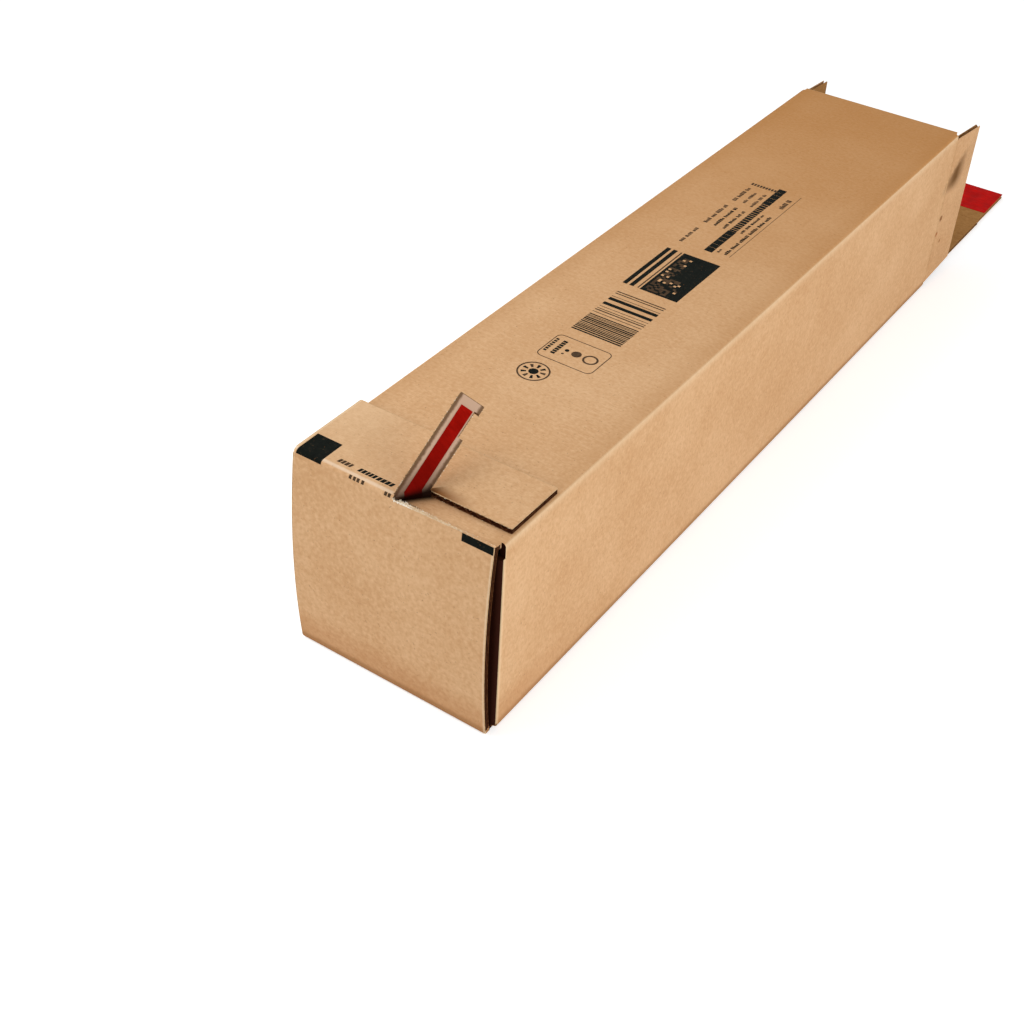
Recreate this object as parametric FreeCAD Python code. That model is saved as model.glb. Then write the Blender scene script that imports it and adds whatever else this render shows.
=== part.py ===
import FreeCAD, Part
import math
import os

# A square mailing tube folded from one sheet of corrugated board, lying on its bottom panel.
# X runs across it, Y along it from the near end to the far end, and Z up.
# The origin is the middle of the bottom panel's outer face. All sizes are in millimetres.

# The square tube and its board
WIDTH = 114.0
HEIGHT = 114.0
BODY_LENGTH = 528.0
BOARD = 3.0
FOLD_RADIUS = 2.4
INNER_FOLD_RADIUS = 0.5
LAP_WIDTH = 30.0
LAP_END_TRIM = 8.0
GLUE = 0.2
SEAM_GLUE_WIDTH = 18.0

# The near end, closed and glued
SIDE_MARGIN = 2.0
NEAR_LEFT_MARGIN = 0.1
NEAR_BULGE = 4.2
NEAR_BULGE_HEIGHT = 50.0
NEAR_FOOT = 1.2
NEAR_FOOT_RADIUS = 1.6
CLOSURE_FLAP_LENGTH = 49.0
CLOSURE_GLUE_START = 20.0
CLOSURE_GLUE_WIDTH = 22.0
CLOSURE_GLUE_INSET = 5.0

# The dust flaps at both ends
DUST_FLAP_LENGTH = 40.0
DUST_FLAP_TAPER = 4.0
NEAR_DUST_TOP_CUT = 8.0
FIT_GAP = 0.3
NOTCH = 0.6

# The tear strip in the near closure flap
STRIP_START = 1.3
STRIP_WIDTH = 12.0
STRIP_ROOT_X = 0.3
STRIP_ROOT_DEG = 49.0
STRIP_LIFT_DEG = 135.0
TORN_RIM_HEIGHT = 1.6
TAPE_WIDTH = 6.0
TAPE_END_GAP = 4.5
TAPE_THICKNESS = 0.2
TORN_MARGIN_WIDTH = 2.4
TORN_MARGIN_LENGTH = 14.0
TORN_MARGIN_FROM_TIP = 4.0

# The far end, open
DUST_OPEN_DEG = 1.5
CLOSED_GAP = 0.5
FAR_CLOSURE_FLAP_LENGTH = 53.0
LINER_START = 14.0
LINER_THICKNESS = 0.15
FAR_GLUE_START = 18.0
FAR_GLUE_WIDTH = 30.0

# Places that follow from the sizes
NEAR_Y = -BODY_LENGTH / 2
FAR_Y = BODY_LENGTH / 2
SIDE_X = WIDTH / 2
INNER_X = SIDE_X - BOARD
NEAR_DUST_Y = NEAR_Y + BOARD + FIT_GAP
RING_START_Y = NEAR_DUST_Y + BOARD
LAP_OUTER_X = -INNER_X + GLUE
LAP_INNER_X = LAP_OUTER_X + BOARD
NEAR_LEFT_X = -SIDE_X + NEAR_LEFT_MARGIN
NEAR_RIGHT_X = SIDE_X - SIDE_MARGIN
FLAP_UNDER_Z = HEIGHT + GLUE
FLAP_TOP_Z = FLAP_UNDER_Z + BOARD
FAR_CREASE_Y = FAR_Y + BOARD + FIT_GAP
DUST_LOW_Z = BOARD + FIT_GAP
DUST_HIGH_Z = HEIGHT - BOARD - FIT_GAP
FAR_PANEL_REACH = HEIGHT + CLOSED_GAP - BOARD
CLOSURE_HINGE_Y = FAR_CREASE_Y + FAR_PANEL_REACH
OPEN_SLOPE = math.tan(math.radians(DUST_OPEN_DEG))
FAR_PANEL_X = INNER_X + (BOARD + FIT_GAP) * OPEN_SLOPE - FIT_GAP

UP = FreeCAD.Vector(0, 0, 1)
ACROSS = FreeCAD.Vector(1, 0, 0)


def in_xz(y):
    """Places a flat outline in the plane across the tube at the length y."""
    return lambda a, b: FreeCAD.Vector(a, y, b)


def in_yz(x):
    """Places a flat outline in the upright plane along the tube at x."""
    return lambda a, b: FreeCAD.Vector(x, a, b)


def in_xy(z):
    """Places a flat outline in the level plane at the height z."""
    return lambda a, b: FreeCAD.Vector(a, b, z)


def unit(a, b):
    """The direction from the point a to the point b, and their distance."""
    dx, dy = b[0] - a[0], b[1] - a[1]
    length = math.hypot(dx, dy)
    return dx / length, dy / length, length


def line(place, a, b):
    """A straight edge between two flat points."""
    return Part.LineSegment(place(*a), place(*b)).toShape()


def arc(place, a, middle, b):
    """A round edge through three flat points."""
    return Part.Arc(place(*a), place(*middle), place(*b)).toShape()


def rounded_face(place, corners):
    """A flat face from corners (a, b, radius), where a radius of 0 is a sharp corner."""
    spans = []
    count = len(corners)
    for i, (a, b, radius) in enumerate(corners):
        back = unit((a, b), corners[i - 1])
        ahead = unit((a, b), corners[(i + 1) % count])
        if radius == 0:
            spans.append(((a, b), None, (a, b)))
            continue
        half = math.acos(back[0] * ahead[0] + back[1] * ahead[1]) / 2
        reach = radius / math.tan(half)
        bisector = unit((0, 0), (back[0] + ahead[0], back[1] + ahead[1]))
        depth = radius / math.sin(half) - radius
        start = (a + back[0] * reach, b + back[1] * reach)
        middle = (a + bisector[0] * depth, b + bisector[1] * depth)
        end = (a + ahead[0] * reach, b + ahead[1] * reach)
        spans.append((start, middle, end))
    edges = []
    for i, (start, middle, end) in enumerate(spans):
        if middle:
            edges.append(arc(place, start, middle, end))
        edges.append(line(place, end, spans[(i + 1) % count][0]))
    return Part.Face(Part.Wire(edges))


def block(x0, x1, y0, y1, z0, z1):
    """A plain block between two corners."""
    return Part.makeBox(x1 - x0, y1 - y0, z1 - z0, FreeCAD.Vector(x0, y0, z0))


def merged(first, *others):
    """One solid from pieces of the same sheet that meet."""
    return first.multiFuse(list(others)).removeSplitter()


def tube_wall():
    """Four panels folded round, with the glue lap inside the left panel."""
    section = rounded_face(in_xz(RING_START_Y), [
        (-SIDE_X, 0, 0),
        (-SIDE_X, HEIGHT, FOLD_RADIUS),
        (SIDE_X, HEIGHT, FOLD_RADIUS),
        (SIDE_X, 0, FOLD_RADIUS),
        (LAP_OUTER_X, 0, FOLD_RADIUS),
        (LAP_OUTER_X, LAP_WIDTH, 0),
        (LAP_INNER_X, LAP_WIDTH, 0),
        (LAP_INNER_X, BOARD, INNER_FOLD_RADIUS),
        (INNER_X, BOARD, INNER_FOLD_RADIUS),
        (INNER_X, HEIGHT - BOARD, INNER_FOLD_RADIUS),
        (-INNER_X, HEIGHT - BOARD, INNER_FOLD_RADIUS),
        (-INNER_X, 0, 0),
    ])
    wall = section.extrude(FreeCAD.Vector(0, FAR_Y - RING_START_Y, 0))
    trims = []
    for y0, y1 in ((RING_START_Y, RING_START_Y + LAP_END_TRIM), (FAR_Y - LAP_END_TRIM, FAR_Y)):
        trims.append(block(-INNER_X, LAP_INNER_X + BOARD, y0, y1, BOARD, LAP_WIDTH + BOARD))
    return wall.cut(trims)


def near_dust_flap(side):
    """A near dust flap turned in behind the end panel, on the right (1) or the left (-1)."""
    tip = INNER_X - DUST_FLAP_LENGTH
    section = rounded_face(in_xy(DUST_LOW_Z), [
        (side * SIDE_X, RING_START_Y, 0),
        (side * SIDE_X, NEAR_DUST_Y, FOLD_RADIUS),
        (side * tip, NEAR_DUST_Y, 0),
        (side * tip, RING_START_Y, 0),
    ])
    return section.extrude(UP * (HEIGHT - NEAR_DUST_TOP_CUT - DUST_LOW_Z))


def end_panel_and_flap():
    """The near end panel, bowed outwards, and its closure flap turned down over the top."""
    place = in_yz(NEAR_LEFT_X)
    corner = 1 - math.sqrt(0.5)
    r = FOLD_RADIUS
    foot_r = NEAR_FOOT_RADIUS
    y = NEAR_Y
    foot = y - NEAR_FOOT
    bowed = y - NEAR_BULGE
    inner = y + BOARD
    flap_end = y + CLOSURE_FLAP_LENGTH
    top = FLAP_TOP_Z
    under = FLAP_UNDER_Z
    edges = [
        line(place, (inner, 0), (foot + foot_r, 0)),
        arc(place, (foot + foot_r, 0), (foot + foot_r * corner, foot_r * corner), (foot, foot_r)),
        arc(place, (foot, foot_r), (bowed, NEAR_BULGE_HEIGHT), (y, top - r)),
        arc(place, (y, top - r), (y + r * corner, top - r * corner), (y + r, top)),
        line(place, (y + r, top), (flap_end, top)),
        line(place, (flap_end, top), (flap_end, under)),
        line(place, (flap_end, under), (inner, under)),
        arc(place, (inner, under), (bowed + BOARD, NEAR_BULGE_HEIGHT), (foot + BOARD, BOARD)),
        line(place, (foot + BOARD, BOARD), (inner, BOARD)),
        line(place, (inner, BOARD), (inner, 0)),
    ]
    section = Part.Face(Part.Wire(edges))
    return section.extrude(ACROSS * (NEAR_RIGHT_X - NEAR_LEFT_X))


def panel_extensions():
    """The short ends of the bottom and top panels that run past the side creases."""
    right = SIDE_X - FOLD_RADIUS
    bottom_near = block(LAP_OUTER_X, right, NEAR_Y + BOARD, RING_START_Y, 0, BOARD)
    top_near = block(-right, right, NEAR_DUST_Y, RING_START_Y, HEIGHT - BOARD, HEIGHT)
    bottom_far = block(LAP_OUTER_X, right, FAR_Y, FAR_CREASE_Y, 0, BOARD)
    top_far = block(-right, right, FAR_Y, FAR_Y + BOARD, HEIGHT - BOARD, HEIGHT)
    return bottom_near, top_near, bottom_far, top_far


def root_point(distance):
    """The point on the strip's root line at a distance along Y from the strip's near edge."""
    across = distance / math.tan(math.radians(STRIP_ROOT_DEG))
    return STRIP_ROOT_X + across, NEAR_Y + STRIP_START + distance


def ribbon(start, end, right, z0, z1):
    """A level ribbon along X from the slanted root line to the right, between two distances in Y."""
    x0, y0 = root_point(start)
    x1, y1 = root_point(end)
    face = rounded_face(in_xy(z0), [(x0, y0, 0), (right, y0, 0), (right, y1, 0), (x1, y1, 0)])
    return face.extrude(UP * (z1 - z0))


def lifted(shape):
    """Turns a piece of the strip up and over, about its slanted root line."""
    x, y = root_point(0)
    slant = math.radians(STRIP_ROOT_DEG)
    axis = FreeCAD.Vector(math.cos(slant), math.sin(slant), 0)
    return shape.rotated(FreeCAD.Vector(x, y, FLAP_TOP_Z), axis, -STRIP_LIFT_DEG)


def root_bend(start, end, z0, z1):
    """The round of the bend at the root, between two distances in Y and two heights."""
    x0, y0 = root_point(start)
    x1, y1 = root_point(end)
    corners = [FreeCAD.Vector(x0, y0, z0), FreeCAD.Vector(x1, y1, z0),
               FreeCAD.Vector(x1, y1, z1), FreeCAD.Vector(x0, y0, z1)]
    face = Part.Face(Part.makePolygon(corners + corners[:1]))
    centre = FreeCAD.Vector(x0, y0, FLAP_TOP_Z)
    return face.revolve(centre, FreeCAD.Vector(x1 - x0, y1 - y0, 0), -STRIP_LIFT_DEG)


def torn_out():
    """What the tear has taken from the closure flap, and the low torn rim along the fold."""
    past = NEAR_RIGHT_X + BOARD
    channel = ribbon(0, STRIP_WIDTH, past, FLAP_UNDER_Z, FLAP_TOP_Z + BOARD)
    x, y = root_point(0)
    rim = block(x, past, NEAR_Y - BOARD, y, HEIGHT + TORN_RIM_HEIGHT, FLAP_TOP_Z + BOARD)
    return channel, rim


def tear_strip():
    """The strip of board that was pulled up, still held at its root."""
    board = ribbon(0, STRIP_WIDTH, NEAR_RIGHT_X, FLAP_UNDER_Z, FLAP_TOP_Z)
    gone_end = NEAR_RIGHT_X - TORN_MARGIN_FROM_TIP
    edge_y = NEAR_Y + STRIP_START + STRIP_WIDTH
    gone = block(gone_end - TORN_MARGIN_LENGTH, gone_end, edge_y - TORN_MARGIN_WIDTH, edge_y + 1,
                 FLAP_UNDER_Z - 1, FLAP_TOP_Z + 1)
    return merged(lifted(board.cut(gone)), root_bend(0, STRIP_WIDTH, FLAP_UNDER_Z, FLAP_TOP_Z))


def carton():
    """The folded sheet: all its panels, the glued near end and the lifted tear strip."""
    closed_end = end_panel_and_flap().cut(list(torn_out()))
    return merged(tube_wall(), closed_end, near_dust_flap(1), near_dust_flap(-1),
                  *panel_extensions(), tear_strip())


def seam_adhesive():
    """The glue line between the lap and the left panel."""
    low = (LAP_WIDTH - SEAM_GLUE_WIDTH) / 2 + BOARD
    return block(-INNER_X, LAP_OUTER_X, RING_START_Y + 2 * LAP_END_TRIM, FAR_Y - 2 * LAP_END_TRIM,
                 low, min(low + SEAM_GLUE_WIDTH, LAP_WIDTH))


def near_closure_adhesive():
    """The glue strip that holds the near closure flap down on the top panel."""
    y = NEAR_Y + CLOSURE_GLUE_START
    return block(NEAR_LEFT_X + CLOSURE_GLUE_INSET, NEAR_RIGHT_X - CLOSURE_GLUE_INSET,
                 y, y + CLOSURE_GLUE_WIDTH, HEIGHT, FLAP_UNDER_Z)


def near_tear_tape():
    """The red tape under the flap, which follows the strip round its bend and up."""
    start = (STRIP_WIDTH - TAPE_WIDTH) / 2
    end = start + TAPE_WIDTH
    high = FLAP_UNDER_Z
    low = high - TAPE_THICKNESS
    x0, y0 = root_point(start)
    x1, y1 = root_point(end)
    hidden = rounded_face(in_xy(low), [(NEAR_LEFT_X, y0, 0), (x0, y0, 0), (x1, y1, 0), (NEAR_LEFT_X, y1, 0)])
    hidden = hidden.extrude(UP * (high - low))
    free = lifted(ribbon(start, end, NEAR_RIGHT_X - TAPE_END_GAP, low, high))
    return merged(hidden, root_bend(start, end, low, high), free)


def far_dust_flap(side):
    """An open far dust flap, turned a little past its side panel, right (1) or left (-1)."""
    angle = math.radians(DUST_OPEN_DEG)
    start = (FIT_GAP + BOARD * math.sin(angle)) / math.cos(angle)
    tip_y = FAR_Y + DUST_FLAP_LENGTH
    face = rounded_face(in_yz(side * INNER_X), [
        (FAR_Y + start, DUST_LOW_Z, 0),
        (tip_y, DUST_LOW_Z + DUST_FLAP_TAPER, 0),
        (tip_y, DUST_HIGH_Z - DUST_FLAP_TAPER, 0),
        (FAR_Y + start, DUST_HIGH_Z, 0),
    ])
    flap = face.extrude(ACROSS * (side * BOARD))
    return flap.rotated(FreeCAD.Vector(side * INNER_X, FAR_Y, 0), UP, -side * DUST_OPEN_DEG)


def far_end_panel():
    """The open far end panel, flat in line with the bottom panel."""
    return block(-FAR_PANEL_X, FAR_PANEL_X, FAR_CREASE_Y + FIT_GAP, CLOSURE_HINGE_Y, 0, BOARD)


def far_closure_flap():
    """The far closure flap, hinged on the end panel's outer crease."""
    y = CLOSURE_HINGE_Y
    x = FAR_PANEL_X - NOTCH
    return block(-x, x, y + FIT_GAP, y + FAR_CLOSURE_FLAP_LENGTH, 0, BOARD)


def far_adhesive_strip():
    """The self-sealing glue on the inner side of the far closure flap."""
    y = CLOSURE_HINGE_Y + FAR_GLUE_START
    x = FAR_PANEL_X - NOTCH - CLOSURE_GLUE_INSET
    return block(-x, x, y, y + FAR_GLUE_WIDTH, BOARD, BOARD + LINER_THICKNESS)


def far_release_liner():
    """The red liner laid over the far glue strip, out to the flap's free edge."""
    x = FAR_PANEL_X - NOTCH
    start = CLOSURE_HINGE_Y + LINER_START
    end = CLOSURE_HINGE_Y + FAR_CLOSURE_FLAP_LENGTH
    return block(-x, x, start, end, BOARD + LINER_THICKNESS, BOARD + 2 * LINER_THICKNESS)


def main():
    os.makedirs("parts", exist_ok=True)
    pieces = {
        "carton": carton(),
        "seam_adhesive": seam_adhesive(),
        "near_closure_adhesive": near_closure_adhesive(),
        "near_tear_tape": near_tear_tape(),
        "far_dust_flap_right": far_dust_flap(1),
        "far_dust_flap_left": far_dust_flap(-1),
        "far_end_panel": far_end_panel(),
        "far_closure_flap": far_closure_flap(),
        "far_adhesive_strip": far_adhesive_strip(),
        "far_release_liner": far_release_liner(),
    }
    for name, shape in pieces.items():
        shape.exportStep(f"parts/{name}.step")
        print(name, "solids", len(shape.Solids), "volume", round(shape.Volume, 1), "valid", shape.isValid())


main()
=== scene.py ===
import math
import random
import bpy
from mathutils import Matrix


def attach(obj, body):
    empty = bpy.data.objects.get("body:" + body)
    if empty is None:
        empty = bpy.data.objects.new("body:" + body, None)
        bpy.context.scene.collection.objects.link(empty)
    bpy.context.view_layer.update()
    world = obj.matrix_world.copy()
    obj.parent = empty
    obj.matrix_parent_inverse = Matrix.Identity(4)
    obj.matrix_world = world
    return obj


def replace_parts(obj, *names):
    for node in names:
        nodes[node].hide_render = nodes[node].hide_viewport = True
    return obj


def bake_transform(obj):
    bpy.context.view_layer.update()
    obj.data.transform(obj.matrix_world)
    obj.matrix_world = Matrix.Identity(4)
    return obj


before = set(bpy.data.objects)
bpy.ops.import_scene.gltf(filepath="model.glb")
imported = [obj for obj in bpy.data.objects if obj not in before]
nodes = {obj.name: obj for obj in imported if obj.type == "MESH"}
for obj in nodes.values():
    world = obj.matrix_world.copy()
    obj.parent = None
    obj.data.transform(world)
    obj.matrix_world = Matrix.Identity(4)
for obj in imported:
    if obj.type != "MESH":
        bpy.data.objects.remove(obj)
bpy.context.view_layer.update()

from types import SimpleNamespace

import bpy
from mathutils import Matrix, Vector, noise


# The carton is one sheet of brown corrugated board, die cut, creased and folded round into a
# square tube, with its near end glued shut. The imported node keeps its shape. Points, sizes and
# pattern widths are in millimetres, in the part's own frame.
BOARD = 3.0
FLUTE_PITCH = 6.3
HEIGHT = 114.0
SIDE_X = 57.0
INNER_X = SIDE_X - BOARD
NEAR_Y, FAR_Y = -264.0, 264.0
# the top and right side of the near closure flap, and the strip torn out of it beside its fold
FLAP_TOP, FLAP_RIGHT = 117.2, 55.0
STRIP_NEAR, STRIP_FAR = -262.7, -250.7
STRIP_HALF = (STRIP_FAR - STRIP_NEAR) / 2
STRIP_Y = (STRIP_FAR + STRIP_NEAR) / 2
# the low torn rim over the end panel
RIM_TOP = 115.6
# the strip turns up out of the flap about its slanting root
ROOT = Vector((0.3, STRIP_NEAR, FLAP_TOP))
ROOT_TURN = math.radians(49)
ROOT_DIRECTION = Vector((math.cos(ROOT_TURN), math.sin(ROOT_TURN), 0))
AWAY_FROM_ROOT = Vector((math.sin(ROOT_TURN), -math.cos(ROOT_TURN), 0))
LIFT = Matrix.Rotation(math.radians(-135), 3, ROOT_DIRECTION)
STRIP_ACROSS = LIFT @ Vector((0, 1, 0))
STRIP_INNER = LIFT @ Vector((0, 0, -1))
LINER_LIGHT, LINER_DARK = "#DFB68B", "#CB9D70"


def linear(code):
    """An sRGB hex colour as linear red, green, blue and alpha."""
    parts = [int(code[i:i + 2], 16) / 255 for i in (1, 3, 5)]
    return [p / 12.92 if p <= 0.04045 else ((p + 0.055) / 1.055) ** 2.4 for p in parts] + [1.0]


def add(tree, kind, inputs=None, output=0, **settings):
    """Adds a shader node with its settings, and with its inputs set or linked. Gives the output
    that is asked for, or the node where that is None."""
    node = tree.nodes.new("ShaderNode" + kind)
    for key, value in settings.items():
        setattr(node, key, value)
    for key, value in (inputs or {}).items():
        if isinstance(value, bpy.types.NodeSocket):
            tree.links.new(value, node.inputs[key])
        else:
            node.inputs[key].default_value = value
    return node if output is None else node.outputs[output]


def blank(name):
    """A material that holds nothing yet but each point's place in millimetres and its normal."""
    material = bpy.data.materials.new(name)
    material.use_nodes = True
    tree = material.node_tree
    tree.nodes.clear()
    source = add(tree, "TexCoord", output=None).outputs
    place = add(tree, "VectorMath", {0: source["Object"], 3: 1000.0}, operation="SCALE")
    x, y, z = add(tree, "SeparateXYZ", {0: place}, None).outputs
    return SimpleNamespace(material=material, tree=tree, place=place, x=x, y=y, z=z, normal=source["Normal"])


def kraft(name, light, dark, roughness=0.8):
    """Kraft linerboard, unbleached pine fibres pressed flat and dried: matt, cloudy, flecked with
    single fibres, and a little wavy where the liner hangs between the flute tips."""
    look = blank(name)
    tree, place = look.tree, look.place
    # clouds of 45 mm, mottling of 2 mm, and fibres 2.5 mm long by 0.55 mm wide, across the flutes
    cloud = add(tree, "TexNoise", {"Vector": place, "Scale": 1 / 45, "Detail": 3.0, "Roughness": 0.55})
    look.mottle = add(tree, "TexNoise", {"Vector": place, "Scale": 1 / 2, "Detail": 4.0, "Roughness": 0.6})
    laid = add(tree, "VectorMath", {0: place, 1: (0.22, 1.0, 0.22)}, operation="MULTIPLY")
    fibre = add(tree, "TexNoise", {"Vector": laid, "Scale": 1 / 0.55, "Detail": 2.0, "Roughness": 0.5})
    tone = 0.0
    for pattern, share in ((cloud, 0.30), (look.mottle, 0.40), (fibre, 0.30)):
        tone = add(tree, "Math", {0: pattern, 1: share, 2: tone}, operation="MULTIPLY_ADD")
    tone = add(tree, "MapRange", {0: tone, 1: 0.33, 2: 0.67}, interpolation_type="SMOOTHSTEP")
    base = add(tree, "Mix", {0: tone, 6: linear(dark), 7: linear(light)}, 2, data_type="RGBA")
    # flecks of bark about 0.8 mm across, drawn sparse
    fleck = add(tree, "TexNoise", {"Vector": place, "Scale": 1 / 1.1, "Detail": 1.0, "Roughness": 0.4})
    fleck = add(tree, "MapRange", {0: fleck, 1: 0.70, 2: 0.80, 4: 0.45})
    look.colour = add(tree, "Mix", {0: fleck, 6: base, 7: linear("#7A5230")}, 2, data_type="RGBA")
    # the liner's waves, a flute apart and 0.045 mm high, counted across the top and up the sides
    sideways = add(tree, "SeparateXYZ", {0: look.normal}, "X")
    sideways = add(tree, "Math", {0: sideways}, operation="ABSOLUTE")
    sideways = add(tree, "Math", {0: sideways, 1: 0.7}, operation="GREATER_THAN")
    across = add(tree, "Mix", {0: sideways, 2: look.x, 3: look.z})
    wave = add(tree, "Math", {0: across, 1: 2 * math.pi / FLUTE_PITCH}, operation="MULTIPLY")
    wave = add(tree, "Math", {0: wave}, operation="SINE")
    height = 0.0
    for pattern, rise in ((wave, 0.045), (look.mottle, 0.09), (fibre, 0.05)):
        height = add(tree, "Math", {0: pattern, 1: rise, 2: height}, operation="MULTIPLY_ADD")
    bump = add(tree, "Bump", {"Strength": 1.0, "Distance": 0.001, "Height": height})
    look.shader = add(tree, "BsdfPrincipled", {"Base Color": look.colour, "Roughness": roughness, "IOR": 1.5,
                                               "Specular IOR Level": 0.04, "Normal": bump})
    add(tree, "OutputMaterial", {0: look.shader}, None)
    return look


def tinted(look, code, most, *limits):
    """Lays a colour over a material, as strong as most where all its limits hold. A limit is near a
    value within a reach, above or below a value, fades from one value to another, or a ready mask."""
    mask = most
    for word, *inputs in limits:
        if word == "mask":
            held = inputs[0]
        elif word == "fades":
            inputs += [1.0, 0.0]
            held = add(look.tree, "MapRange", dict(enumerate(inputs)), interpolation_type="SMOOTHSTEP")
        else:
            test = {"near": "COMPARE", "above": "GREATER_THAN", "below": "LESS_THAN"}[word]
            held = add(look.tree, "Math", dict(enumerate(inputs)), operation=test)
        mask = add(look.tree, "Math", {0: mask, 1: held}, operation="MULTIPLY")
    look.colour = add(look.tree, "Mix", {0: mask, 6: look.colour, 7: linear(code)}, 2, data_type="RGBA")
    look.tree.links.new(look.colour, look.shader.node.inputs["Base Color"])


def beyond_root(look):
    """How far a point lies past the line of the strip's root, seen from above."""
    flat = add(look.tree, "VectorMath", {0: look.place, 1: AWAY_FROM_ROOT}, "Value", operation="DOT_PRODUCT")
    return add(look.tree, "Math", {0: flat, 1: ROOT.dot(AWAY_FROM_ROOT)}, operation="SUBTRACT")


def foot_shaded(look, code):
    """Darkens the bend of the strip's root, in deep shade above the channel and behind the rim. The
    shade reaches past the root through the box round the bend, and rises a little with x."""
    in_channel = add(look.tree, "Math", {0: look.y, 1: STRIP_Y, 2: STRIP_HALF + 0.05}, operation="COMPARE")
    over_rim = add(look.tree, "Math", {0: look.z, 1: RIM_TOP + 0.1}, operation="GREATER_THAN")
    inner = add(look.tree, "Math", {0: in_channel, 1: over_rim}, operation="MAXIMUM")
    level = add(look.tree, "Math", {0: look.x, 1: -0.22, 2: look.z}, operation="MULTIPLY_ADD")
    tinted(look, code, 1.0, ("above", beyond_root(look), 0.05), ("mask", inner),
           ("above", look.z, HEIGHT + 0.15), ("near", look.x, 6.8, 6.48), ("near", look.y, -257.8, 7.2),
           ("fades", level, RIM_TOP, RIM_TOP + 4))


board = kraft("kraft_linerboard", LINER_LIGHT, LINER_DARK)
from_side = add(board.tree, "Math", {0: board.x}, operation="ABSOLUTE")
on_side = ("near", from_side, SIDE_X, 0.9)
on_top = ("near", board.z, HEIGHT, 0.9)
on_flap = ("near", board.z, FLAP_TOP, 0.1)
# the long folds: rubbed pale and painted with a highlight on the side panels, and darkened with painted shade
# on the top panel
tinted(board, "#EBCDA6", 0.55, on_side, ("fades", board.z, HEIGHT, HEIGHT - 6))
tinted(board, "#BA8A5B", 0.35, on_top, ("fades", from_side, SIDE_X, SIDE_X - 16))
# painted shade and warm bounce light at the foot of the panels: browner towards the ground and darkest in its
# lowest few millimetres, and browner low on the near end
tinted(board, "#C08B5C", 0.4, ("fades", board.z, 0.0, 9.0))
tinted(board, "#8C6540", 0.55, ("fades", board.z, 3.0, 6.2))
tinted(board, "#B87C4C", 0.3, ("fades", board.z, 10.0, 26.0), ("fades", board.y, -240.0, -180.0))
# the inner liner is darker, and shows only inside the tube
tinted(board, "#A87748", 1.0, ("near", board.x, 0.0, INNER_X + 0.3),
       ("near", board.z, HEIGHT / 2, INNER_X + 0.3), ("near", board.y, 0.0, FAR_Y - 2))
# painted shade browns the top panel towards the far end, and a painted highlight makes the left of the flap
# paler
tinted(board, "#BE7E3A", 0.62, on_top, ("fades", board.y, 300.0, -160.0))
tinted(board, "#E4C6A0", 0.25, on_flap, ("fades", board.x, -SIDE_X, 12.0))
# where the strip has torn the flap away, painted shade darkens the top panel beside its root, deepest in the
# hollow by the root, and so it darkens the flap along its torn side
from_root = beyond_root(board)
channel = (on_top, ("near", board.y, STRIP_Y, STRIP_HALF + 0.2))
tinted(board, "#94592C", 0.45, *channel, ("fades", from_root, 0.6, 24.0))
tinted(board, "#1E0D06", 1.0, *channel, ("fades", from_root, 0.4, 3.9))
tinted(board, "#7E4F28", 1.0, on_flap, ("fades", board.y, STRIP_FAR, -242.0),
       ("fades", board.x, 14.0, 38.0), ("above", from_root, -1.0))
# the lifted strip's torn sides are dark, and its inner side is a greyer recycled liner, darker along its
# borders; painted shade darkens it towards its foot and deepest in the bend of its root
on_strip = ("above", board.z, FLAP_TOP + 0.1)
facing = add(board.tree, "VectorMath", {0: board.normal, 1: STRIP_INNER}, "Value", operation="DOT_PRODUCT")
strip_inside = (on_strip, ("above", facing, 0.8))
middle = ROOT + STRIP_ACROSS * STRIP_HALF
border = add(board.tree, "VectorMath", {0: board.place, 1: STRIP_ACROSS}, "Value", operation="DOT_PRODUCT")
border = add(board.tree, "Math", {0: border, 1: middle.dot(STRIP_ACROSS)}, operation="SUBTRACT")
border = add(board.tree, "Math", {0: border}, operation="ABSOLUTE")
border = add(board.tree, "Math", {0: board.mottle, 1: 1.4, 2: border}, operation="MULTIPLY_ADD")
tinted(board, "#6E4D31", 1.0, on_strip)
tinted(board, "#C2A188", 1.0, *strip_inside)
tinted(board, "#6E523A", 0.95, *strip_inside, ("fades", border, 6.1, 4.8))
tinted(board, "#4A3022", 0.75, on_strip, ("fades", board.z, FLAP_TOP + 0.1, 132.0))
tinted(board, "#D2A879", 1.0, on_strip, ("below", facing, -0.8))
foot_shaded(board, "#160804")
# the near corners: the fold from side panel to dust flap lies deep behind the end panel, and painted shade
# makes it nearly black, and the panel's end above it and the top of the dust flap as well
PANEL_START, DUST_TOP = -257.7, 106.0
tinted(board, "#2B1007", 1.0, ("near", board.y, -259.5, 1.95), ("near", board.z, 56.0, 57.5),
       ("above", from_side, 52.0), ("fades", board.y, -259.4, PANEL_START - 0.2))
tinted(board, "#210B05", 1.0, ("near", board.y, PANEL_START, 0.06), ("near", board.z, 107.9, 6.0))
tinted(board, "#2E1408", 1.0, ("near", board.z, DUST_TOP, 0.1), ("near", board.y, -259.2, 1.6))
# a painted highlight lies on the fold over the near end, left of the strip's root, within 1.9 mm of this line
above_fold = (0.0, -262.4, 118.2)
from_fold = add(board.tree, "VectorMath", {0: board.place, 1: (0.0, 1.0, 1.0)}, operation="MULTIPLY")
from_fold = add(board.tree, "VectorMath", {0: from_fold, 1: above_fold}, "Value", operation="DISTANCE")
tinted(board, "#F8E8D2", 0.38, ("fades", from_fold, 1.1, 1.9), ("fades", board.x, -2.0, 1.0))
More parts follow.
